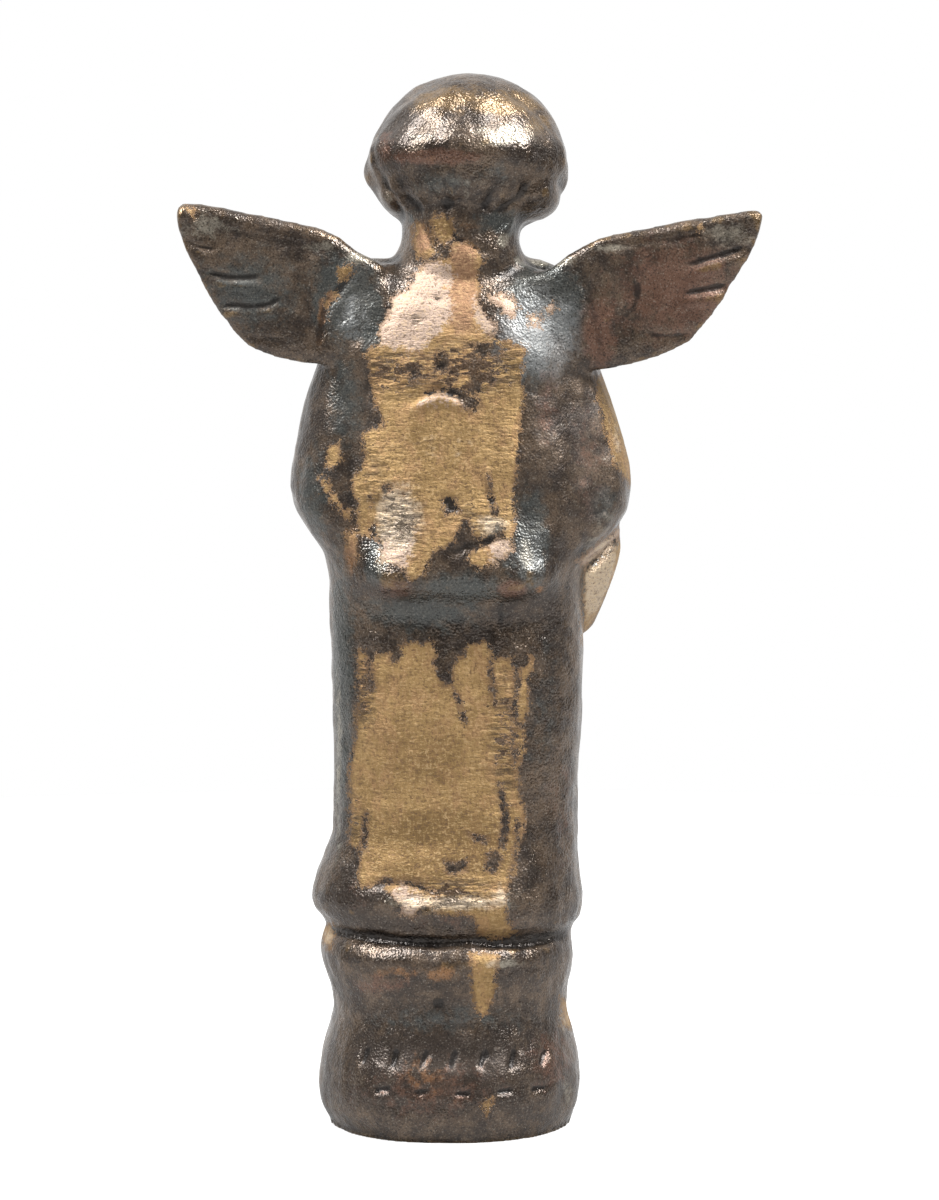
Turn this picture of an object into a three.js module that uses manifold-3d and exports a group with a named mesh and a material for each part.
// A bronze angel statuette, cast in one piece with its waisted plinth: a bobbed head, short wings, a gown
// that falls straight to its hem, wide sleeves and joined hands.
//
// Every form starts as a ball whose rows and turns are pulled to named sizes, the way a modeller works wax.
// The forms are then fused into one solid, and the feathers are cut into it.
//
// Millimetres, +Z up. The face looks along -Y, so that +X is the angel's own left, and the origin is the
// middle of the plinth's underside.
import * as THREE from "three";
import { mergeVertices } from "three/addons/utils/BufferGeometryUtils.js";
import Module from "manifold-3d";

const { smoothstep, lerp } = THREE.MathUtils;
const TURN = 2 * Math.PI;

// Driving dimensions.
const HEIGHT = 186;
const HEAD = { x: -3.1, y: 0.4, z: 169.6, halfWidth: 17.7, back: 15.6, front: 14.6, below: 12.6 };
const NECK_TOP = 160;
const GROOVE = 34.8; // height of the cut between the plinth and the gown's hem
const HEM = 41; // height where the hem flares most
const WAIST = 92; // height of the pinch below the seat of the gown
const ELBOW = 113.5;
const SHOULDER = 149;
const CHEST_X = -1.9; // the chest stands a little to the angel's right of the plinth's middle

// The body's outline: height, half width, depth to the back, depth to the front, and shift along X.
const OUTLINE = [
  [0, 21.3, 20.6, 20.6, 0],
  [2.2, 22.5, 21.9, 21.9, 0.2],
  [5.8, 23.5, 22.8, 22.7, 0.2],
  [12.2, 23, 21.8, 22, 0],
  [16, 22, 20, 20.8, 0],
  [21.2, 20.5, 18.3, 19.6, 0.1],
  [26.6, 21.8, 20, 20.8, 0.4],
  [30.2, 22.6, 21, 21.9, 0.6],
  [33, 22.3, 20.2, 21.4, 0.7],
  [GROOVE, 21.9, 17.3, 19.8, 0.2],
  [36.6, 22.9, 19.2, 20.9, -0.3],
  [38.6, 24, 20.2, 22, 0.3],
  [HEM, 24.4, 20.3, 22.3, 0.6],
  [44.6, 23.7, 19.3, 21.3, 0.4],
  [48.2, 22.6, 18.2, 20.3, -0.4],
  [57, 21.9, 17.3, 19.1, -0.8],
  [66, 22, 17.1, 18.4, -1.1],
  [78, 22.4, 16.9, 17.4, -1.3],
  [WAIST, 22.6, 16.5, 16.4, -1],
  [97, 22.6, 18.8, 16.6, -1],
  [101, 23.3, 19.6, 16.9, -1.2],
  [105.5, 27.2, 19.4, 17.2, -2],
  [109.5, 29.6, 18.9, 17.3, -2],
  [ELBOW, 30.3, 18.5, 17.2, -1.8],
  [119.7, 29.4, 17.7, 16.8, -1.9],
  [128.5, 27.1, 17, 16, -1.4],
  [137, 24, 16.2, 14.8, -1.2],
  [144, 20.6, 14.9, 13.2, -1.3],
  [SHOULDER, 16, 12.7, 11.3, -1.4],
  [152.6, 11.6, 10.1, 9.2, -1.4],
  [156, 10.3, 8.8, 8.1, -1.8],
  [NECK_TOP, 10.4, 8.4, 7.8, -2.2],
];
// Rows of the body from the underside up: from, to, number of steps.
const BODY_ROWS = [
  [0, 28, 7],
  [28, 44, 9],
  [44, 90, 6],
  [90, NECK_TOP, 18],
];
const BODY_STEPS = 44; // round the body
const CROWDING = 0.3; // how much closer together those steps lie in front

const FOLD = { steps: 3, hemDepth: 2.4, waistDepth: 0.9, top: 100 };
// The creases between the arms and the torso, counted in steps from the middle of the back or of the front.
const ARM_CREASE = { backLeft: 3, backRight: 4, front: 6, depth: 1.5, width: 1, foot: 99, top: 144 };
const COLLAR = { height: 150.6, width: 1.5, depth: 1.1 };

// The rounded shoulder that carries each wing, as centre and half sizes.
const WING_MOUND = { centre: [12.4, 2.6, 142.6], half: [12, 11, 11], turns: 16, rows: 11 };
const WING = { depth: 9.5, sweep: 1.8, rootThickness: 5.4, tipThickness: 2.8, rim: 0.9, rimWidth: 1.8 };
// Each wing's edges from the root to the tip, as distance along X from the axis and height.
const LEFT_WING = {
  side: 1,
  leading: [[8, 151.5], [14.9, 153.7], [21.4, 158], [30.6, 160], [40.3, 162.1], [46.4, 162.5], [47.3, 161]],
  trailing: [[12, 134], [24.2, 134.5], [33.6, 136.9], [38.7, 141.3], [43.5, 149.7], [46.5, 156], [47.3, 159.6]],
};
const RIGHT_WING = {
  side: -1,
  leading: [[9, 150.5], [16.8, 151.3], [23.4, 155.9], [36.6, 158.7], [45, 160.2], [53.3, 161.5], [54.1, 160.2]],
  trailing: [[13, 132.6], [26.6, 133.4], [39.9, 137.1], [45.8, 143.4], [50.3, 150.2], [53.5, 156.3], [54.1, 159]],
};
// Where the feathers part on the angel's right wing; the left wing's are drawn in by their share of the span.
const FEATHER_CUTS = [
  [[39, 153.4], [45.5, 154.9], [54, 158]],
  [[39.5, 147.8], [45.5, 148.6], [52, 151.4]],
  [[34, 140.6], [40.5, 139.6], [46.5, 142]],
  [[31.5, 152.6], [33, 148.4], [30, 144.3], [25.5, 141.8]],
];
const FEATHER_CUT = { radius: 1.3, depth: 0.8, leftRise: 0.8 };

// The overhang of the hair behind and the tuck below it, as heights from the head's middle and depths.
const HAIR = { ridge: 1.1, ridgeAt: 1.5, ridgeWidth: 2.6, tuck: 1.3, tuckAt: -4.6, lock: 0.45, lockSteps: 3 };
const SIDE_LOCKS = [
  { centre: [-14.6, 2.5, 164.6], half: [5, 8.6, 4.6], turns: 12, rows: 8 },
  { centre: [8.2, 2, 165], half: [4.4, 8, 4], turns: 12, rows: 8 },
];
// The egg cut out of the hair, and the eggs that make the face in it.
const FACE_OPENING = { centre: [HEAD.x, -16.5, 166.8], half: [9.6, 8.5, 11.2], turns: 20, rows: 12 };
const SKULL = { centre: [HEAD.x, -3.6, 167.6], half: [11, 11, 12.6], turns: 18, rows: 12 };
const NOSE = { centre: [HEAD.x, -13.6, 167.6], half: [1.5, 2.9, 3.6] };
const UPPER_LIP = { centre: [HEAD.x, -13.2, 162.1], half: [2.7, 1.6, 0.75] };
const LOWER_LIP = { centre: [HEAD.x, -12.8, 160.7], half: [2.2, 1.6, 0.75] };
const CHIN = { centre: [HEAD.x, -10.4, 158.2], half: [3.6, 3, 2.4] };
const EYE = { centre: [4.1, -12.1, 169.3], half: [2.3, 1.5, 1.35] }; // its X from the middle of the face
const BROW = { path: [[1.6, -14, 172.4], [4.4, -13, 173.6], [7.4, -9.9, 172.2]], radius: 1.1 };

// A sleeve's middle line, from the elbow to the cuff, with X measured out from the chest.
const SLEEVE_PATH = [[21, 3, 115], [20.5, -9, 112.5], [14, -18.5, 115], [5.2, -22.5, 120]];
// The angel's right sleeve hangs lower and stands further out than the left.
const LOOSE_ELBOW = 4.4;
const SLEEVE = {
  turns: 14,
  rows: 11,
  mouthRows: 2, // the last rows turn back into the sleeve's mouth
  mouthStep: 1.6,
  mouthShare: 0.55,
  halfThickness: 4.6,
  above: 5.4,
  elbowHang: 9,
  cuffHang: 13,
  extraHang: 12.5,
  lean: 0.08, // how far the hanging edge leans in towards the gown as it falls
};
const HAND = { wrist: [3, -20, 116.5], tip: [1.5, -24.8, 138], thick: 2.9, broad: 4.4 };
const THUMB = { centre: [2.2, -19.4, 127.5], half: [1.3, 1.7, 3.6] };
const TOES = { centre: [7.5, -18.4, 35.2], half: [4.6, 5.6, 2.8], turns: 10, rows: 6 };

const bump = (distance, reach) => Math.exp(-((distance / reach) ** 2));
const between = (low, high, value) => Math.min(high, Math.max(low, value));

/** A ball of wax, closed at both poles: place(point, turn, row) puts each vertex, with turn from 0 to 1,
 *  clockwise as seen from the last row. */
function ball(turns, rows, place) {
  const geometry = new THREE.SphereGeometry(1, turns, rows);
  const position = geometry.getAttribute("position");
  const uv = geometry.getAttribute("uv");
  const point = new THREE.Vector3();
  for (let i = 0; i < position.count; i++) {
    place(point, (1 - uv.getX(i)) % 1, Math.round(uv.getY(i) * rows));
    position.setXYZ(i, point.x, point.y, point.z);
  }
  geometry.deleteAttribute("normal");
  geometry.deleteAttribute("uv");
  return mergeVertices(geometry, 1e-4);
}

/** A smooth egg. */
function egg({ centre, half, turns = 8, rows = 6 }) {
  return ball(turns, rows, (point, turn, row) => {
    const ring = row === 0 || row === rows ? 0 : Math.sin((Math.PI * row) / rows);
    point.set(ring * Math.sin(TURN * turn), ring * Math.cos(TURN * turn), -Math.cos((Math.PI * row) / rows));
    return point.multiply(new THREE.Vector3(...half)).add(new THREE.Vector3(...centre));
  });
}

/** An egg or a point given for one side, put on the side that is asked for and moved along X. */
const sided = (side, [x, y, z], shift = 0) => new THREE.Vector3(shift + side * x, y, z);
const sidedEgg = (side, form, shift) => egg({ ...form, centre: sided(side, form.centre, shift) });

/** Rounded-square version of a sine or cosine: 2 gives an ellipse, and more gives flatter sides. */
const squared = (wave, squareness) => Math.sign(wave) * Math.abs(wave) ** (2 / squareness);

const outline = new THREE.CubicInterpolant(
  OUTLINE.map(([height]) => height),
  OUTLINE.flatMap(([, ...sizes]) => sizes),
  OUTLINE[0].length - 1,
);

/** How far the gown stands out from its plain outline: folds in front, the arms' edges, and a collar. */
function gownRelief(step, angle, height) {
  const inFront = smoothstep(-Math.cos(angle), -0.3, 0.3);
  const fallen = smoothstep(FOLD.top - height, 0, FOLD.top - HEM);
  const onGown = smoothstep(height, GROOVE, HEM) * (1 - smoothstep(height, FOLD.top, FOLD.top + 8));
  const uneven = 0.75 + 0.25 * Math.sin(3 * angle + 1);
  const fold = -Math.max(0, Math.cos((TURN * step) / FOLD.steps)) * uneven;
  const { backLeft, backRight, front, depth, width, foot, top } = ARM_CREASE;
  const middle = BODY_STEPS / 2;
  const creases = [backLeft, middle - front, middle + front, BODY_STEPS - backRight];
  const nearest = Math.min(...creases.map((crease) => Math.abs(step - crease)));
  const onArms = smoothstep(height, foot, foot + 8) * (1 - smoothstep(height, top - 14, top));
  const crease = -depth * onArms * bump(nearest, width);
  const collar = inFront * COLLAR.depth * bump(height - COLLAR.height, COLLAR.width);
  return inFront * onGown * lerp(FOLD.waistDepth, FOLD.hemDepth, fallen) * fold + crease + collar;
}

/** Plinth, gown, upper arms, shoulders and neck, in one form. */
function body() {
  const heights = BODY_ROWS.flatMap(([from, to, steps]) =>
    Array.from({ length: steps }, (_, i) => lerp(from, to, i / steps)),
  );
  heights.push(NECK_TOP);
  const rows = heights.length + 1; // and a pole at each end
  return ball(BODY_STEPS, rows, (point, turn, row) => {
    const height = heights[between(0, heights.length - 1, row - 1)];
    const [halfWidth, back, front, shift] = outline.evaluate(height);
    if (row === 0 || row === rows) return point.set(shift, 0, height);
    const angle = TURN * turn + CROWDING * Math.sin(TURN * turn);
    const squareness = lerp(2.15, 2.6, smoothstep(height, HEM, WAIST));
    const across = halfWidth * squared(Math.sin(angle), squareness);
    const deep = squared(Math.cos(angle), squareness) * (Math.cos(angle) > 0 ? back : front);
    const relief = gownRelief(turn * BODY_STEPS, angle, height);
    return point.set(shift + across + relief * Math.sin(angle), deep + relief * Math.cos(angle), height);
  });
}

/** A bobbed cap of hair that overhangs behind, with shallow locks below the overhang. */
function hairCap() {
  const turns = 33;
  const rows = 18;
  const above = HEIGHT - HEAD.z;
  return ball(turns, rows, (point, turn, row) => {
    const angle = TURN * turn;
    const rise = (Math.PI * row) / rows;
    const ring = row === 0 || row === rows ? 0 : Math.sin(rise);
    const direction = new THREE.Vector3(ring * Math.sin(angle), ring * Math.cos(angle), -Math.cos(rise));
    const x = direction.x * HEAD.halfWidth;
    const y = direction.y * (direction.y > 0 ? HEAD.back : HEAD.front);
    const z = direction.z * (direction.z > 0 ? above : HEAD.below);
    const behind = smoothstep(direction.y, -0.1, 0.5);
    const ridge = HAIR.ridge * bump(z - HAIR.ridgeAt, HAIR.ridgeWidth);
    const tuck = HAIR.tuck * bump(z - HAIR.tuckAt, HAIR.ridgeWidth);
    const locks = HAIR.lock * Math.cos((TURN * turn * turns) / HAIR.lockSteps) * smoothstep(-z, -9, 4);
    point.set(HEAD.x + x, HEAD.y + y, HEAD.z + z);
    return point.addScaledVector(direction, ring * (behind * (ridge - tuck) + locks));
  });
}

const edgeCurve = (points) => new THREE.SplineCurve(points.map(([out, height]) => new THREE.Vector2(out, height)));

/** A wing's middle plane, and its thickness, at a distance out from the axis. */
const spanShare = (out) => out / RIGHT_WING.leading.at(-1)[0];
const wingDepth = (out) => WING.depth + WING.sweep * spanShare(out);
const wingThickness = (out) => lerp(WING.rootThickness, WING.tipThickness, spanShare(out));

/** A wing from its root, sunk in the shoulder, to its tip, with a raised rim under its leading edge. */
function wing({ side, leading, trailing }) {
  const turns = 24;
  const rows = 11;
  const upperEdge = edgeCurve(leading);
  const lowerEdge = edgeCurve(trailing);
  return ball(turns, rows, (point, turn, row) => {
    const share = row / rows;
    const upper = upperEdge.getPoint(share);
    const lower = lowerEdge.getPoint(share);
    const closing = Math.sqrt(1 - (2 * share - 1) ** 12);
    const middle = upper.clone().add(lower).multiplyScalar(0.5);
    const half = upper.clone().sub(lower).multiplyScalar(0.5 * closing * squared(Math.cos(TURN * turn), 2.4));
    const place = middle.add(half);
    const face = squared(Math.sin(TURN * turn), 3.2);
    const rim = WING.rim * bump(upper.distanceTo(place) - 1.6, WING.rimWidth);
    const depth = face * closing * (wingThickness(place.x) / 2 + Math.abs(face) * rim);
    return point.set(side * place.x, wingDepth(place.x) + side * depth, place.y);
  });
}

/** A slim four-sided spindle along a path, pointed at both ends: a brow, or the tool for a cut. */
function spindle(points, radius) {
  const path = new THREE.CatmullRomCurve3(points);
  const rows = 6;
  const { normals, binormals } = path.computeFrenetFrames(rows, false);
  return ball(4, rows, (point, turn, row) => {
    const girth = radius * Math.sin((Math.PI * row) / rows) ** 0.6;
    path.getPointAt(row / rows, point);
    point.addScaledVector(normals[row], girth * Math.sin(TURN * turn));
    return point.addScaledVector(binormals[row], girth * Math.cos(TURN * turn));
  });
}

/** The cuts between a wing's feathers, on its back and on its front. */
function featherCuts({ side, leading }) {
  const shrink = leading.at(-1)[0] / RIGHT_WING.leading.at(-1)[0];
  return [1, -1].flatMap((face) =>
    FEATHER_CUTS.slice(face < 0 ? 1 : 0).map((cut) => {
      const points = cut.map(([rightOut, height]) => {
        const out = shrink * rightOut;
        const surface = wingDepth(out) + (face * wingThickness(out)) / 2;
        const sunk = face * (FEATHER_CUT.radius - FEATHER_CUT.depth);
        return new THREE.Vector3(side * out, surface + sunk, height + (side > 0 ? FEATHER_CUT.leftRise : 0));
      });
      return spindle(points, FEATHER_CUT.radius);
    }),
  );
}

/** A bell sleeve from the elbow to the wrist, open at the cuff, with its lower edge hanging. */
function sleeve(side) {
  const { turns, rows, mouthRows } = SLEEVE;
  const loose = side < 0 ? 1 : 0;
  const path = new THREE.CatmullRomCurve3(
    SLEEVE_PATH.map(([x, y, z], i) => sided(side, [x + (i < 2 ? LOOSE_ELBOW * loose : 0), y, z], CHEST_X)),
  );
  return ball(turns, rows, (point, turn, row) => {
    const share = Math.min(1, row / (rows - mouthRows));
    const inward = Math.max(0, row - (rows - mouthRows));
    const middle = path.getPoint(share);
    const tangent = path.getTangent(share).setZ(0).normalize();
    const wall = row === 0 || row === rows ? 0 : inward ? SLEEVE.mouthShare : Math.min(1, 0.5 + 2 * share);
    const hang = lerp(SLEEVE.elbowHang, SLEEVE.cuffHang, share) + 3 * bump(share - 0.4, 0.3);
    const low = hang + loose * SLEEVE.extraHang * bump(share - 0.3, 0.22);
    const wave = Math.sin(TURN * turn);
    const narrowing = wave < 0 ? 1 - 0.45 * wave ** 2 : 1;
    const across = SLEEVE.halfThickness * wall * Math.cos(TURN * turn) * narrowing;
    const up = wall * wave * (wave > 0 ? SLEEVE.above : low);
    const back = SLEEVE.mouthStep * inward;
    const lean = side * SLEEVE.lean * Math.min(0, up);
    return point.set(
      middle.x + lean + tangent.y * across - tangent.x * back,
      middle.y - tangent.x * across - tangent.y * back,
      middle.z + up,
    );
  });
}

/** One of the two joined hands, pointing up. */
function hand(side) {
  const wrist = sided(side, HAND.wrist, CHEST_X);
  const tip = sided(side, HAND.tip, CHEST_X);
  const rows = 10;
  return ball(10, rows, (point, turn, row) => {
    const share = row / rows;
    const round = Math.sqrt(Math.max(0, 1 - (2 * share - 1) ** 4));
    const palm = 1 + 0.35 * bump(share - 0.45, 0.2);
    point.lerpVectors(wrist, tip, share);
    point.x += HAND.thick * lerp(1, 0.6, share) * round * Math.sin(TURN * turn);
    point.y += HAND.broad * lerp(1, 0.7, share) * palm * round * Math.cos(TURN * turn);
    return point;
  });
}

/** The forms of the face, with a pair of eyes under their brows. */
function face() {
  const pair = [1, -1].flatMap((side) => [
    sidedEgg(side, EYE, HEAD.x),
    spindle(BROW.path.map((place) => sided(side, place, HEAD.x)), BROW.radius),
  ]);
  return [...[SKULL, NOSE, UPPER_LIP, LOWER_LIP, CHIN].map(egg), ...pair];
}

/** What each side of the figure has besides its wing. */
const sideForms = (side) => [
  sidedEgg(side, WING_MOUND),
  sleeve(side),
  hand(side),
  sidedEgg(side, THUMB, CHEST_X),
  sidedEgg(side, TOES),
];

const wasm = await Module();
wasm.setup();

/** A closed geometry as a solid that can be joined. */
function solid(geometry) {
  return new wasm.Manifold(
    new wasm.Mesh({
      numProp: 3,
      vertProperties: new Float32Array(geometry.getAttribute("position").array),
      triVerts: new Uint32Array(geometry.index.array),
    }),
  );
}

const join = (forms) => forms.map(solid).reduce((whole, form) => whole.add(form));
const carve = (whole, cuts) => cuts.map(solid).reduce((rest, cut) => rest.subtract(cut), whole);

const wings = [LEFT_WING, RIGHT_WING];
const hair = carve(join([hairCap(), ...SIDE_LOCKS.map(egg)]), [egg(FACE_OPENING)]);
const figure = join([body(), ...wings.map(wing), ...sideForms(1), ...sideForms(-1), ...face()]).add(hair);
const carved = carve(figure, wings.flatMap(featherCuts));

/** The joined solid as a three.js geometry. */
function geometryOf(whole) {
  const { numProp, numVert, vertProperties, triVerts } = whole.getMesh();
  const corners = new Float32Array(3 * numVert);
  for (let i = 0; i < numVert; i++) {
    corners.set(vertProperties.subarray(i * numProp, i * numProp + 3), 3 * i);
  }
  const geometry = new THREE.BufferGeometry();
  geometry.setAttribute("position", new THREE.BufferAttribute(corners, 3));
  geometry.setIndex(new THREE.BufferAttribute(triVerts, 1));
  geometry.computeVertexNormals();
  return geometry;
}

const bronze = new THREE.MeshStandardMaterial({ color: 0x3a2d22, roughness: 0.42, metalness: 0.85 });
const angel = new THREE.Mesh(geometryOf(carved), bronze);
angel.name = "angel_statuette";

const statuette = new THREE.Group();
statuette.add(angel);
export default statuette;
